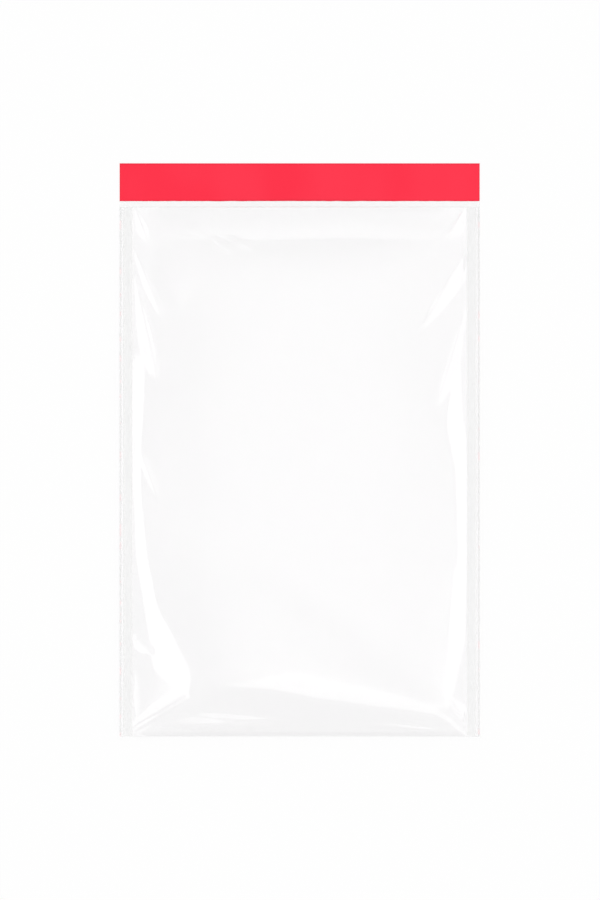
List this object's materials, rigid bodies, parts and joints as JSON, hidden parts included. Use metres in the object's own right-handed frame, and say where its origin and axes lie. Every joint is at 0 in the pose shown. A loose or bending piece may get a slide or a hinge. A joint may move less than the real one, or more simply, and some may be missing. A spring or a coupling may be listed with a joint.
{
  "type": "self-seal cellophane bag",
  "caption": "Clear film bag with side welds, a folded bottom, an open mouth and a flap whose adhesive is covered by a red peel-off strip.",
  "frame": {"origin": "centre of the bag's outline, on the surface that it lies on", "axes": "+X across the bag, +Y up its length from the bottom fold to the flap, +Z from the back to the front"},
  "size_m": [0.2, 0.3184, 0.0169],
  "materials": {
    "clear_film": "clear, glossy polypropylene film with a faint haze",
    "adhesive": "clear, tacky adhesive",
    "red_strip": "opaque red film, satin"
  },
  "bodies": {
    "root": {"film_bag": "clear_film", "adhesive_band": "adhesive", "release_strip": "red_strip"}
  },
  "joints": []
}
